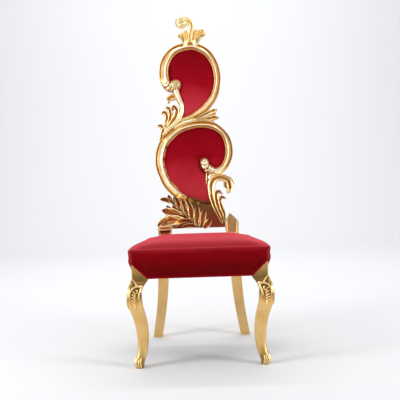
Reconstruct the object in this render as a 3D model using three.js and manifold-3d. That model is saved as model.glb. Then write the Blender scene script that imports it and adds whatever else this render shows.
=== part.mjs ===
// A tall carved and gilded throne with a crimson velvet seat and two velvet pads in its back
import * as THREE from 'three';
import { mergeVertices } from 'three/addons/utils/BufferGeometryUtils.js';
import Module from 'manifold-3d';

const wasm = await Module();
wasm.setup();

// Driving dimensions of the seat, in millimetres
const seatHeight = 511; // floor to the crease around the top of the seat
const seatFrontWidth = 618;
const seatRearWidth = 500;
const seatDepth = 536;
const seatEdgeHeight = 122; // crease down to the lower edge of the cover
const seatCrown = 16; // how far the padding rises above the crease
const seatFrontRadius = 30;
const seatRearRadius = 45;
const seatEdgeInset = 20; // the cover tucks in this far at its lower edge
const creaseInset = 24;
const sideBow = 15; // how far each side of the seat bows out at its middle
const crownMargin = 30; // keeps the innermost ring of the crown open
const pipingRadius = 4;
const coverThickness = 2; // dust cover under the seat
const coverMargin = 8; // from its edge to the lower edge of the seat

// Driving dimensions of the legs
const blockSize = 68; // square block at the top of a front leg
const earHeight = 64; // bare corner of the block above the cover's lower edge
const postWidth = 60;
const postThickness = 40;
const postSpread = 328; // between the centres of the two posts at the seat
const rearFootSpread = 436;
const rearFootWidth = 46;
const rearRake = 42; // how far a rear foot stands behind its post
const leftPostTop = 74; // left post above the foot of the back, behind the leaves
const rightPostTop = 103; // right post above the foot of the back, to its carved point
const lapHeight = 24; // from here up the left post is cut back for the leaves
const lapDepth = 20;
const earLap = 8; // the ear's corner piece starts this far under the cover's lower edge
const voluteRadius = 9; // scrolls at the top of a knee's leaf
const voluteTube = 5;
const voluteSetBack = 24; // from the edge of the knee to the middle of a scroll

// Driving dimensions of the back
const backHeight = 1093; // seat level to the top of the finial, along the slope
const backWidth = 386;
const backLean = 7; // degrees from upright
const postInset = 6; // rear of the seat to the middle of a post
const backOffset = seatDepth - postInset;
const backDrop = 5; // the level from which the back is drawn lies this far under the crease
const backFoot = seatHeight - backDrop;
const carvingDepth = 40; // flat back to the crest of the largest moulding
const strandDepth = 34;
const groundDepth = 20;
const borderDepth = 26; // low strand beside the lower pad
const finialLeafDepth = 27;
const padRecess = 4; // back of a pad inside the flat back
const padEdge = 14; // thickness of a pad where it meets the carving
const padCrown = 15; // how far a pad swells in front of its edge
const fitGap = 0.3; // clearance between pieces that touch

// The carving is drawn in units of a grid that the width and height of the back set
const drawnWidth = 38.6;
const drawnHeight = 108.5;
const drawnSeatLevel = 50;
const unitAcross = backWidth / drawnWidth;
const unitUp = backHeight / drawnHeight;
const backPlane = postThickness / 2; // flat back of the carving, behind the middle

const gold = new THREE.MeshStandardMaterial({ color: 0xd9a441, roughness: 0.3, metalness: 1 });
const velvet = new THREE.MeshStandardMaterial({ color: 0x8e0d1c, roughness: 0.85, metalness: 0 });
const lining = new THREE.MeshStandardMaterial({ color: 0x161414, roughness: 0.95, metalness: 0 });

// Closed triangle meshes and solids

function solidOf(geometry) {
  const bare = geometry.clone();
  bare.deleteAttribute('normal');
  bare.deleteAttribute('uv');
  const merged = mergeVertices(bare, 1e-3);
  const corners = merged.index.array;
  const kept = [];
  for (let i = 0; i < corners.length; i += 3) {
    const [a, b, c] = corners.slice(i, i + 3);
    if (a !== b && b !== c && c !== a) kept.push(a, b, c);
  }
  const body = new wasm.Manifold(new wasm.Mesh({
    numProp: 3,
    vertProperties: new Float32Array(merged.attributes.position.array),
    triVerts: new Uint32Array(kept),
  }));
  return body;
}

function geometryOf(body) {
  const mesh = body.getMesh();
  const geometry = new THREE.BufferGeometry();
  geometry.setAttribute('position', new THREE.BufferAttribute(mesh.vertProperties, 3));
  geometry.setIndex(new THREE.BufferAttribute(mesh.triVerts, 1));
  geometry.computeVertexNormals();
  return geometry;
}

function joined(bodies) {
  return bodies.reduce((whole, body) => whole.add(body));
}

/** Six times the volume that a list of triangles encloses, negative when they face inwards */
function signedVolume(points, faces) {
  let sum = 0;
  for (let i = 0; i < faces.length; i += 3) {
    const [a, b, c] = [points[faces[i]], points[faces[i + 1]], points[faces[i + 2]]];
    sum += a.dot(new THREE.Vector3().crossVectors(b, c));
  }
  return sum;
}

/** Closed solid through rings of points; every ring has as many points, and both ends are flat */
function loft(rings) {
  const count = rings[0].length;
  const points = rings.flat();
  const faces = [];
  for (let row = 0; row < rings.length - 1; row++) {
    for (let i = 0; i < count; i++) {
      const a = row * count + i;
      const b = row * count + (i + 1) % count;
      faces.push(a, b, b + count, a, b + count, a + count);
    }
  }
  const [first, last] = [rings[0], rings[rings.length - 1]];
  for (const [a, b, c] of capFaces(first)) faces.push(a, c, b);
  const start = points.length - count;
  for (const [a, b, c] of capFaces(last)) faces.push(start + a, start + b, start + c);
  if (signedVolume(points, faces) < 0) faces.reverse();
  const geometry = new THREE.BufferGeometry().setFromPoints(points);
  geometry.setIndex(faces);
  return solidOf(geometry);
}

/** Triangles across a flat ring, wound the way the ring runs */
function capFaces(ring) {
  const normal = new THREE.Vector3();
  ring.forEach((point, i) => {
    normal.add(new THREE.Vector3().crossVectors(point, ring[(i + 1) % ring.length]));
  });
  normal.normalize();
  const right = new THREE.Vector3().subVectors(ring[1], ring[0]).normalize();
  const up = new THREE.Vector3().crossVectors(normal, right);
  const flat = ring.map((point) => new THREE.Vector2(point.dot(right), point.dot(up)));
  return THREE.ShapeUtils.triangulateShape(flat, []);
}

/**
 * Carved band: a section swept along a curve. A station is [x, y, z, width, depth]; a section point
 * is [share across the width, share of the depth towards the outward side].
 */
function band(stations, section, outward, stepsPerStation) {
  const place = new THREE.CatmullRomCurve3(
    stations.map(([x, y, z]) => new THREE.Vector3(x, y, z)), false, 'catmullrom', 0.5);
  const size = new THREE.CatmullRomCurve3(
    stations.map(([, , , width, depth]) => new THREE.Vector3(width, depth, 0)), false, 'catmullrom', 0.5);
  const steps = stepsPerStation * (stations.length - 1);
  const rings = [];
  for (let i = 0; i <= steps; i++) {
    const centre = place.getPoint(i / steps);
    const { x: width, y: depth } = size.getPoint(i / steps);
    const side = new THREE.Vector3().crossVectors(outward, place.getTangent(i / steps)).normalize();
    rings.push(section.map(([across, out]) => centre.clone()
      .addScaledVector(side, across * width)
      .addScaledVector(outward, out * depth)));
  }
  return loft(rings);
}

// Sections of the carving, from the outer side of a loop to its inner side
const mouldingSection = [
  [-0.5, 0], [-0.5, 0.52], [-0.41, 0.66], [-0.16, 0.5], [-0.01, 0.88], [0.12, 1], [0.26, 0.86],
  [0.37, 0.55], [0.5, 0.48], [0.5, 0],
];
const strandSection = [[-0.5, 0], [-0.5, 0.55], [0, 1], [0.5, 0.5], [0.5, 0]];
const leafSection = [[-0.5, 0], [-0.44, 1], [0, 0.6], [0.44, 1], [0.5, 0]];

const towardsFront = new THREE.Vector3(0, -1, 0);

/** Place on the back of a drawn point: x across from the middle, z up from seat level */
function onBack(x, z) {
  return [x * unitAcross, backPlane, (z - drawnSeatLevel) * unitUp];
}

/** Band on the back from drawn stations [x, z, width, share of the depth] */
function backBand(drawn, section, depth, stepsPerStation = 2) {
  const stations = drawn.map(([x, z, width, share = 1]) => {
    return [...onBack(x, z), width * unitAcross, depth * share];
  });
  return band(stations, section, towardsFront, stepsPerStation);
}

/** Rounded boss on the back, such as the end of a scroll */
function boss([x, z, radius], depth) {
  const reach = radius * unitAcross;
  const profile = [[0, 0], [reach, 0], [reach, 0.5 * depth], [0.8 * reach, 0.85 * depth], [0, depth]];
  const lathe = new THREE.LatheGeometry(profile.map(([r, h]) => new THREE.Vector2(r, h)), 12);
  lathe.rotateX(Math.PI);
  lathe.translate(...onBack(x, z));
  return solidOf(lathe);
}

// Drawn lines of the carving. The two loops run anticlockwise as seen from the front
const upperLoop = [
  [-8.5, 105.6, 1.6, 0.6], [-5, 107, 2.4, 0.8], [-1, 108.2, 2.9], [3.7, 111.2, 3.4], [7.2, 114.6, 3.5],
  [9.8, 118.3, 3.5], [11.45, 123.9, 3.3], [11.5, 129.8, 3.4], [9.8, 135.5, 3.4], [5.9, 140.6, 3.7],
  [-0.8, 143.3, 3.7], [-8.7, 141.6, 4.1], [-13.3, 136.8, 4.5], [-14.85, 131.2, 4.7], [-14.2, 126.4, 4.6],
  [-12.2, 123.6, 4.8], [-9.6, 123.2, 4.8],
];
const lowerLoop = [
  [3.95, 85.8, 4.2], [4.5, 83.5, 4.9], [6.5, 81.5, 4.1], [9.05, 80.75, 3.2], [12.9, 82.4, 3.1],
  [15.4, 86.2, 3.6], [16.4, 90.7, 3.7], [15.6, 96, 3.6], [13.3, 100, 3.1], [8.6, 103.4, 3.6],
  [1.5, 104.3, 3.4], [-6.8, 102.6, 3.8], [-12.2, 99.2, 4.4], [-15.6, 95.4, 5], [-17.45, 90.3, 5.1],
  [-17.75, 85.2, 4.9], [-16.6, 80.5, 4.7], [-14.3, 75.6, 4.9], [-10.95, 71.9, 4.9], [-7, 69, 4, 0.85],
  [-3.6, 67.7, 4, 0.65], [0.5, 66.5, 3.6, 0.5], [4.6, 65.7, 3, 0.4], [7.8, 65.4, 2.6, 0.4],
];
const upperScrollEnd = [-9.05, 124.1, 2.95];
const lowerScrollEnd = [3.95, 85.5, 2.4];
const innerStrand = [
  [-9.3, 122.4, 3.6], [-7.9, 118.2, 3.3], [-6.3, 114.5, 2.6], [-6.3, 111, 2.6], [-7.7, 107.7, 2.6],
  [-10.4, 104.9, 2.6], [-13.6, 102.2, 2.4], [-16.3, 99.4, 1.6],
];
const scrollStem = [
  [12.2, 55.2, 1], [10.5, 58.6, 1.7], [8.7, 62.6, 2.3], [7.3, 67, 2.8], [6.7, 71.3, 3.3], [7.2, 75.3, 4.2],
  [9.2, 77.7, 3.9], [12.6, 77.9, 3.7], [15.6, 76, 3.8], [16.3, 73.2, 3.3], [15.8, 71.3, 1.6, 0.7],
];
const padBorder = [[6, 69.5, 1.8], [5.3, 75, 2.2], [5.7, 80.4, 2.6]];
const strands = [
  // Curled tips on the left, between the loops
  [[-7.8, 118.6, 2.2], [-10.4, 118.5, 2.6], [-12.5, 117.6, 2], [-12.5, 116.1, 0.8, 0.7]],
  [[-11.2, 113, 0.8, 0.7], [-9.9, 113.2, 1.4], [-8.9, 111.6, 1.9], [-9.6, 108.3, 1.9], [-11.9, 105.3, 1.9],
    [-14.8, 102, 1.6]],
  [[-13.8, 113.3, 0.7, 0.7], [-12.6, 112.3, 1.4], [-11.9, 109.4, 1.6], [-12.9, 106.2, 1.7],
    [-15.3, 102.6, 1.5]],
  [[-16, 110.8, 0.7, 0.7], [-14.5, 110.8, 1.4], [-13.7, 108.3, 1.6], [-14.3, 105.4, 1.6],
    [-16, 101.6, 1.5]],
  [[-18.2, 104.2, 0.7, 0.7], [-16.7, 104.2, 1.4], [-15.9, 102.4, 1.6], [-16.5, 99.6, 1.5],
    [-17.3, 96.8, 1.2]],
  // Spray on the right, between the loops
  [[1, 107, 1.4], [6.2, 109.5, 2.2], [10.5, 111.6, 1.3, 0.7]],
  [[1.5, 106.9, 1.4], [6, 108.3, 2.4], [9.9, 109.4, 1.8, 0.8]],
  [[1, 106.7, 1.4], [6.5, 107.2, 1.9], [11.5, 107.4, 1, 0.7]],
  // Band that closes the space between the tail of the upper loop and the top of the lower one
  [[-10.6, 102.9, 1.8], [-4.6, 105.6, 2.8], [1.5, 106.8, 2.6], [6, 106.1, 1.8], [9.8, 105, 1]],
  // Strands beside the stem of the scroll on the right
  [[12.3, 55.6, 1], [11.7, 59, 1.5], [10.2, 63, 2], [9.3, 67, 2.3], [9.2, 69.9, 2], [10.3, 71, 1.6],
    [11.8, 70.4, 0.7, 0.7]],
  [[12.8, 57, 1], [12.9, 60, 1.4], [11.7, 63.6, 1.5], [10.9, 66.2, 1.6], [11.8, 68.1, 1.4],
    [13.5, 67.9, 0.7, 0.7]],
  // Fan where the stem meets the lower loop
  [[6.2, 77.2, 2.6], [7.6, 79.5, 2.8], [10.6, 80.4, 1.6]],
  // Spine of the leaf spray
  [[0.4, 54, 1.2], [-2.2, 56.6, 1.2], [-4.6, 59.2, 1.3], [-9, 63.2, 1.3], [-13.2, 66.7, 1.2]],
  // Rim of the large leaf, across the left post
  [[-12.2, 54.3, 1.6], [-15.5, 53.9, 2.6], [-19.9, 53.9, 2.2]],
];
// Leaflets of the spray: base, tip, greatest width, and how far the middle bows to the left of the way
const leaflets = [
  [[-12.6, 66.4], [-18.4, 67.9], 2.3, -0.6],
  [[-12, 66], [-14.3, 70.1], 2, 0.3],
  [[-9, 62.9], [-11.3, 70], 2.6, -0.4],
  [[-5.5, 60], [-7.7, 68], 3.1, -0.4],
  [[-3.2, 58], [-5.7, 67.1], 3, -0.8],
  [[-0.3, 54], [-0.4, 64.2], 3.2, 0],
  [[1, 53.9], [3.2, 62.2], 3.3, 0],
  [[2.6, 53.7], [6.1, 57.8], 3, -0.3],
  [[-8, 60.6], [-15.6, 64.9], 1.7, 0.3],
  [[-7.6, 59], [-17.7, 62.6], 4, -0.6],
  [[-7.4, 57.4], [-20, 54.9], 4.9, -1.4],
  [[-3.6, 57.2], [-12.4, 54.5], 2.4, -1.3],
  [[-0.4, 54.2], [-8.8, 53.8], 2, -0.9],
];
const ground = [
  [-13.4, 53.6], [13.6, 53.6], [13.4, 58], [11.3, 65], [9.2, 69], [7.2, 73], [6.2, 79.5], [5.2, 79.5],
  [5.8, 72], [6.4, 66], [0.5, 65.6], [-3.6, 67], [-7, 68.4], [-11.4, 71.4], [-12.4, 67], [-12.8, 62],
  [-14.4, 57.5],
];
const finialBase = [[-1.2, 143.6, 8.4, 0.7], [-1.2, 145, 7.4, 0.7], [-1.2, 146.3, 6.7, 0.6]];
const plume = [
  [-1.6, 145.4, 2.6, 0.6], [-1, 149.5, 2, 0.6], [-0.2, 152.6, 1.8, 0.6], [-0.6, 155, 2.8, 0.75],
  [-2.4, 156.2, 4.2, 0.85], [-4.7, 155.9, 5.1, 0.95], [-6.6, 155.3, 4.6, 0.9], [-7.9, 154.9, 2.6, 0.6],
];
const finialLeaves = [
  [[-3.3, 145.4, 2.6], [-3.9, 148.4, 3.1], [-3.3, 151.7, 1.2, 0.7]],
  [[-3.6, 146.6, 1.8], [-5.2, 148.7, 1.4], [-7, 148.9, 0.7, 0.7]],
  [[-3.8, 147.8, 1.8], [-6, 149.9, 1, 0.7]],
  [[0.3, 145.4, 1.8], [0.9, 149.4, 1.9], [2.3, 151.3, 1.6, 0.8]],
  [[1.3, 145.4, 1.8], [2.2, 149.2, 2.8], [4.3, 150, 2.6, 0.9], [6, 148.8, 1, 0.7]],
];

/** Leaflet as a band whose width swells and closes along its length */
function leaflet([base, tip, width, bow]) {
  const [run, rise] = [tip[0] - base[0], tip[1] - base[1]];
  const length = Math.hypot(run, rise);
  const drawn = [0, 0.3, 0.6, 0.85, 1].map((share) => {
    const aside = bow * Math.sin(Math.PI * share);
    const swell = 0.25 + 0.75 * Math.sin(Math.PI * (0.12 + 0.8 * share)) ** 0.8;
    const closing = share === 1 ? 0.2 : swell;
    return [
      base[0] + run * share - rise / length * aside,
      base[1] + rise * share + run / length * aside,
      width * closing, share === 1 ? 0.7 : 1,
    ];
  });
  return backBand(drawn, leafSection, strandDepth, 1);
}

/** Slab parallel to the back with a drawn outline, between two distances in front of the flat back */
function slab(outline, from, to) {
  const shape = new THREE.Shape(outline.map(([x, z]) => {
    const [across, , up] = onBack(x, z);
    return new THREE.Vector2(across, up);
  }));
  const geometry = new THREE.ExtrudeGeometry(shape, { depth: to - from, bevelEnabled: false });
  geometry.rotateX(Math.PI / 2);
  geometry.translate(0, backPlane - from, 0);
  return solidOf(geometry);
}

/** The whole carving of the back */
function carving() {
  return joined([
    slab(ground, 0, groundDepth),
    backBand(upperLoop, mouldingSection, carvingDepth),
    backBand(lowerLoop, mouldingSection, carvingDepth),
    boss(upperScrollEnd, carvingDepth),
    boss(lowerScrollEnd, carvingDepth),
    backBand(innerStrand, strandSection, strandDepth),
    backBand(scrollStem, strandSection, strandDepth),
    backBand(padBorder, strandSection, borderDepth),
    ...strands.map((drawn) => backBand(drawn, strandSection, strandDepth)),
    ...leaflets.map((leaf) => leaflet(leaf)),
    backBand(finialBase, strandSection, carvingDepth, 1),
    backBand(plume, strandSection, carvingDepth),
    ...finialLeaves.map((drawn) => backBand(drawn, leafSection, finialLeafDepth, 1)),
  ]);
}

/** Everything that borders the velvet, with upright sides and a fitting gap, to cut the pads with */
function padCutter() {
  const upright = [[-0.5, 0], [-0.5, 1], [0.5, 1], [0.5, 0]];
  const depth = 2 * carvingDepth;
  const widened = (drawn) => drawn.map(([x, z, width]) => [x, z, width + 2 * fitGap / unitAcross]);
  const column = ([x, z, radius]) => {
    const reach = radius * unitAcross + fitGap;
    const post = new THREE.CylinderGeometry(reach, reach, depth, 12);
    post.translate(...onBack(x, z));
    return solidOf(post);
  };
  return joined([
    backBand(widened(upperLoop), upright, depth),
    backBand(widened(lowerLoop), upright, depth),
    backBand(widened(innerStrand), upright, depth),
    backBand(widened(scrollStem), upright, depth),
    backBand(widened(padBorder), upright, depth),
    column(upperScrollEnd),
    column(lowerScrollEnd),
  ]);
}

/** Velvet pad: a slab whose outline lies under the carving, swollen in the middle, cut to fit */
function backPad(outline, { centre, reach }) {
  const flat = slab(outline, padRecess, padRecess + padEdge);
  const swollen = slab(outline, padRecess, padRecess + padEdge + padCrown);
  const [across, , up] = onBack(...centre);
  const dome = new THREE.SphereGeometry(1, 18, 12);
  dome.scale(reach[0] * unitAcross, padEdge + padCrown, reach[1] * unitUp);
  dome.translate(across, backPlane - padRecess, up);
  return flat.add(swollen.intersect(solidOf(dome))).subtract(padCutter());
}

const middleOf = (drawn) => drawn.map(([x, z]) => [x, z]);
const upperPadOutline = [...middleOf(upperLoop.slice(1, -1)), ...middleOf(innerStrand.slice(0, 5))];
const lowerPadOutline = [
  ...middleOf(lowerLoop.slice(2)), ...middleOf(scrollStem.slice(3, 5)), ...middleOf(padBorder.slice(1)),
];
const upperPadSwell = { centre: [-1, 127], reach: [14, 21] };
const lowerPadSwell = { centre: [-0.5, 87], reach: [19, 22] };

// Seat

const sideSlope = (seatFrontWidth - seatRearWidth) / 2 / seatDepth;

/** Corner of the seat's plan, seen from above, set in by a distance on every side */
function planCorner(right, rear, inset) {
  const y = rear ? seatDepth - inset : inset;
  const x = seatFrontWidth / 2 - y * sideSlope - inset * Math.hypot(1, sideSlope);
  return new THREE.Vector2(right ? x : -x, y);
}

/** A plan point moved out to where the bowed side carries it, most in the middle of the depth */
function bowed(x, y) {
  return x * (1 + 2 * sideBow / seatFrontWidth * Math.sin(Math.PI * y / seatDepth));
}

/** Plan of the seat as a ring of points with rounded corners and two points along each bowed side */
function seatRing(inset, height, cornerSteps = 3) {
  const sideTurn = Math.atan(sideSlope);
  const corners = [
    { right: true, rear: false, from: -Math.PI / 2, to: sideTurn, radius: seatFrontRadius },
    { right: true, rear: true, from: sideTurn, to: Math.PI / 2, radius: seatRearRadius },
    { right: false, rear: true, from: Math.PI / 2, to: Math.PI - sideTurn, radius: seatRearRadius },
    { right: false, rear: false, from: Math.PI - sideTurn, to: 1.5 * Math.PI, radius: seatFrontRadius },
  ];
  const arcs = corners.map(({ right, rear, from, to, radius }) => {
    const centre = planCorner(right, rear, inset + radius);
    return Array.from({ length: cornerSteps + 1 }, (_, i) => {
      const angle = from + (to - from) * i / cornerSteps;
      const [x, y] = [centre.x + radius * Math.cos(angle), centre.y + radius * Math.sin(angle)];
      return new THREE.Vector3(x, y, height);
    });
  });
  const between = (before, after) => [1 / 3, 2 / 3]
    .map((share) => before.at(-1).clone().lerp(after[0], share));
  const ring = [
    ...arcs[0], ...between(arcs[0], arcs[1]), ...arcs[1],
    ...arcs[2], ...between(arcs[2], arcs[3]), ...arcs[3],
  ];
  return ring.map(({ x, y, z }) => new THREE.Vector3(bowed(x, y), y, z));
}

const seatBottom = seatHeight - seatEdgeHeight;

/** Padded seat: a bulging edge below the crease and a crowned top, open for the ears and the posts */
function seat() {
  const edge = [
    [0, seatEdgeInset], [0.22, 6], [0.45, 1], [0.66, 0], [0.84, 4], [0.95, 12], [1, creaseInset],
  ];
  const rings = edge.map(([share, inset]) => seatRing(inset, seatBottom + share * seatEdgeHeight));
  const innermost = seatRearWidth / 2 - seatRearRadius - crownMargin;
  for (const share of [0.12, 0.3, 0.6, 1]) {
    const rise = seatCrown * (1 - (1 - share) ** 2);
    rings.push(seatRing(creaseInset + (innermost - creaseInset) * share, seatHeight + rise));
  }
  const inner = earNormal.clone().negate();
  const mirrored = new THREE.Vector3(-inner.x, inner.y, inner.z);
  return loft(rings)
    .trimByPlane(inner.toArray(), inner.dot(earTip))
    .trimByPlane(mirrored.toArray(), inner.dot(earTip))
    .subtract(rearLeg(rightPostTop, fitGap))
    .subtract(leftRearLeg(fitGap))
    .subtract(piping(pipingRadius + fitGap));
}

// Front legs. A station is [share of the height, outer face beyond the block, width]
const legHeight = seatBottom - fitGap;
const blockOuter = seatFrontWidth / 2 - seatEdgeInset;
const legStations = [
  [0, -5, 33], [0.035, 0, 39], [0.075, 1, 43], [0.12, -5, 44], [0.17, -10.5, 44.5], [0.235, -13, 46],
  [0.315, -12, 50], [0.42, -8, 53.5], [0.535, 0, 57], [0.63, 12, 61], [0.705, 19, 62], [0.785, 20, 60.5],
  [0.86, 16, 57], [0.93, 7, 62], [0.975, 0, blockSize], [1, 0, blockSize],
];

/** Cross-section of a leg: a square with cut corners, its outer front corner fixed by the outer face */
function legRing(outer, width, height, cut) {
  const corners = [[0, 0], [-1, 0], [-1, 1], [0, 1]];
  const turns = [[[0, 1], [-1, 0]], [[1, 0], [0, 1]], [[0, -1], [1, 0]], [[-1, 0], [0, -1]]];
  return corners.flatMap(([x, y], i) => turns[i].map(([dx, dy]) => new THREE.Vector3(
    blockOuter + outer + (x * width) + dx * cut,
    seatEdgeInset - outer + (y * width) + dy * cut,
    height,
  )));
}

/** Plane under which the block's ear stays bare: it leans over the outer front corner of the seat */
const earNormal = new THREE.Vector3(earHeight, -earHeight, -blockSize).normalize();
const earTip = new THREE.Vector3(blockOuter, seatEdgeInset, seatBottom + earHeight);

/** Point on the outer front edge of the leg at a share of its height, sunk into the wood */
function kneePoint(share, sunk) {
  const outer = new THREE.CatmullRomCurve3(legStations.map(([h, out]) => new THREE.Vector3(out, 0, h)));
  let best = outer.getPoint(0);
  for (const point of outer.getPoints(60)) {
    if (Math.abs(point.z - share) < Math.abs(best.z - share)) best = point;
  }
  return [blockOuter + best.x - sunk, seatEdgeInset - best.x + sunk, share * legHeight];
}

const diagonal = new THREE.Vector3(1, -1, 0).normalize();
const kneeSection = [[-0.5, 0], [-0.5, 0.45], [-0.2, 0.72], [0, 1], [0.2, 0.72], [0.5, 0.45], [0.5, 0]];

/** Right front leg with its ear, the leaf on its knee and the petals of its toe */
function frontLeg() {
  const shaft = loft(legStations.map(([share, outer, width]) => {
    const cut = share > 0.94 ? 2 : width * 0.24;
    return legRing(outer, width, share * legHeight, cut);
  }));
  const earLevels = [seatBottom - earLap, seatBottom + earHeight];
  const earBox = loft(earLevels.map((height) => legRing(0, blockSize, height, 2)));
  const ear = earBox.trimByPlane(earNormal.toArray(), earNormal.dot(earTip) + fitGap);
  const leafStations = [[0.96, 16, 18], [0.88, 18, 28], [0.79, 18, 32], [0.7, 18, 26], [0.61, 18, 5]];
  const leaf = band(leafStations.map(([share, sunk, width]) => [...kneePoint(share, sunk), width, 27]),
    kneeSection, diagonal, 1);
  const petals = [-1, 0, 1].map((place) => {
    const way = diagonal.clone().applyAxisAngle(new THREE.Vector3(0, 0, 1), place * 0.62);
    const stations = [[0.12, 24, 8, 22], [0.06, 22, 15, 27], [0.02, 20, 15, 25], [0.003, 18, 9, 17]];
    return band(stations.map(([share, sunk, width, depth]) => [...kneePoint(share, sunk), width, depth]),
      strandSection, way, 1);
  });
  const volutes = [0, 1].map((face) => {
    const scroll = new THREE.TorusGeometry(voluteRadius, voluteTube, 5, 10);
    if (face === 0) scroll.rotateX(Math.PI / 2);
    if (face === 1) scroll.rotateY(Math.PI / 2);
    const [x, y, z] = kneePoint(0.9, 1);
    scroll.translate(face === 0 ? x - voluteSetBack : x, face === 0 ? y : y + voluteSetBack, z);
    return solidOf(scroll);
  });
  return joined([shaft, ear, leaf, ...petals, ...volutes]);
}

// Rear legs, each one board from the floor up past the seat

const lean = THREE.MathUtils.degToRad(backLean);
const backMatrix = new THREE.Matrix4().makeRotationX(-lean).setPosition(0, backOffset, backFoot);

/** Right rear leg; its top ends in a point at the given height above the foot of the back */
function rearLeg(topHeight, gap) {
  const halfPost = postSpread / 2;
  const footX = rearFootSpread / 2;
  const below = [[0, 1], [0.14, 0.77], [0.28, 0.56], [0.42, 0.4], [0.6, 0.28], [0.77, 0.2], [1, 0]];
  const rings = below.map(([share, splay]) => legSection(
    halfPost + (footX - halfPost) * splay, backOffset + rearRake * splay, share * backFoot,
    rearFootWidth + (postWidth - rearFootWidth) * share ** 1.6, gap));
  const above = [[0.5, 1.13, 0], [0.7, 0.94, 1], [0.86, 0.5, 4], [1, 0.06, 8]];
  for (const [share, wide, inward] of above) {
    const rise = topHeight * share;
    const y = backOffset + rise * Math.tan(lean);
    rings.push(legSection(halfPost - inward, y, backFoot + rise, postWidth * wide, gap));
  }
  return loft(rings);
}

/** Flat section of a rear leg, a board with eased edges */
function legSection(x, y, z, width, gap) {
  const [halfWidth, halfDepth, cut] = [width / 2 + gap, postThickness / 2 + gap, Math.min(3, width / 4)];
  return [
    [-halfWidth + cut, -halfDepth], [halfWidth - cut, -halfDepth], [halfWidth, -halfDepth + cut],
    [halfWidth, halfDepth - cut], [halfWidth - cut, halfDepth], [-halfWidth + cut, halfDepth],
    [-halfWidth, halfDepth - cut], [-halfWidth, -halfDepth + cut],
  ].map(([dx, dy]) => new THREE.Vector3(x + dx, y + dy, z));
}

/** Left rear leg: the mirrored board, its front cut back above the seat to take the leaves */
function leftRearLeg(gap) {
  const lap = new THREE.BoxGeometry(postSpread, postThickness, leftPostTop * 2);
  const lapFace = backPlane - (postThickness - lapDepth) - gap;
  lap.translate(-postSpread / 2, lapFace - postThickness / 2, lapHeight + gap + leftPostTop);
  lap.applyMatrix4(backMatrix);
  return rearLeg(leftPostTop, gap).mirror([1, 0, 0]).subtract(solidOf(lap));
}

// Piping along the lower edge of the cover, up and over the bare ears of the front legs

/** Corners of the piping's route on one side, from the middle of the front to the post */
function pipingSide(right) {
  const side = right ? 1 : -1;
  const behindEar = seatEdgeInset + blockSize;
  const postSide = postSpread / 2 + postWidth / 2 + 2 * pipingRadius;
  const rearCorner = seatRing(seatEdgeInset, seatBottom)
    .filter((point) => point.y > behindEar + blockSize / 2 && point.x * side > postSide + pipingRadius)
    .sort((a, b) => side * (b.x - a.x) + (a.y - b.y));
  return [
    new THREE.Vector3(side * (blockOuter - blockSize), seatEdgeInset, seatBottom),
    new THREE.Vector3(side * blockOuter, seatEdgeInset, seatBottom + earHeight),
    new THREE.Vector3(side * bowed(blockOuter - behindEar * sideSlope, behindEar), behindEar, seatBottom),
    ...rearCorner,
    new THREE.Vector3(side * postSide, seatDepth - seatEdgeInset, seatBottom),
  ];
}

function piping(radius) {
  const route = [...pipingSide(false).reverse(), ...pipingSide(true)];
  const rings = route.map((point, i) => {
    const before = new THREE.Vector3().subVectors(point, route[Math.max(i - 1, 0)]).normalize();
    const next = route[Math.min(i + 1, route.length - 1)];
    const after = new THREE.Vector3().subVectors(next, point).normalize();
    const way = before.add(after).normalize();
    const out = new THREE.Vector3(way.y, -way.x, 0).normalize();
    const up = new THREE.Vector3().crossVectors(way, out).normalize();
    return Array.from({ length: 6 }, (_, k) => point.clone()
      .addScaledVector(out, radius * Math.cos(k * Math.PI / 3))
      .addScaledVector(up, radius * Math.sin(k * Math.PI / 3)));
  });
  return loft(rings);
}

/** Dust cover under the seat, cut around the four legs */
function dustCover() {
  const top = seatBottom - fitGap;
  const levels = [top - coverThickness, top];
  const block = loft([levels[0] - 1, levels[1] + 1]
    .map((height) => legRing(fitGap, blockSize + 2 * fitGap, height, 2)));
  return loft(levels.map((height) => seatRing(seatEdgeInset + coverMargin, height)))
    .subtract(block)
    .subtract(block.mirror([1, 0, 0]))
    .subtract(rearLeg(rightPostTop, fitGap))
    .subtract(leftRearLeg(fitGap));
}

// Assembly

function piece(name, body, material) {
  const mesh = new THREE.Mesh(geometryOf(body), material.clone());
  mesh.name = name;
  return mesh;
}

const throne = new THREE.Group();
throne.name = 'throne';

const back = new THREE.Group();
back.applyMatrix4(backMatrix);
const intoBack = backMatrix.clone().invert().toArray();
const backFrame = carving()
  .subtract(rearLeg(rightPostTop, fitGap).transform(intoBack))
  .subtract(leftRearLeg(fitGap).transform(intoBack));
back.add(piece('back_frame', backFrame, gold));
back.add(piece('back_pad_upper', backPad(upperPadOutline, upperPadSwell), velvet));
back.add(piece('back_pad_lower', backPad(lowerPadOutline, lowerPadSwell), velvet));
throne.add(back);

const welt = piping(pipingRadius + fitGap);
const frontLegs = [frontLeg().mirror([1, 0, 0]), frontLeg()];
throne.add(piece('front_leg_left', frontLegs[0].subtract(welt), gold));
throne.add(piece('front_leg_right', frontLegs[1].subtract(welt), gold));
throne.add(piece('rear_leg_left', leftRearLeg(0), gold));
throne.add(piece('rear_leg_right', rearLeg(rightPostTop, 0), gold));

throne.add(piece('seat_cushion', seat(), velvet));
throne.add(piece('seat_piping', piping(pipingRadius), velvet));
throne.add(piece('dust_cover', dustCover(), lining));

// The throne stands on the floor with the middle of its box above the origin
const box = new THREE.Box3().setFromObject(throne, true);
const middle = box.getCenter(new THREE.Vector3());
throne.position.set(-middle.x, -middle.y, -box.min.z);
throne.updateMatrixWorld(true);

export default throne;
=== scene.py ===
# A tall carved and gilded throne with a crimson velvet seat and two velvet pads in its back
import math

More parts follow.
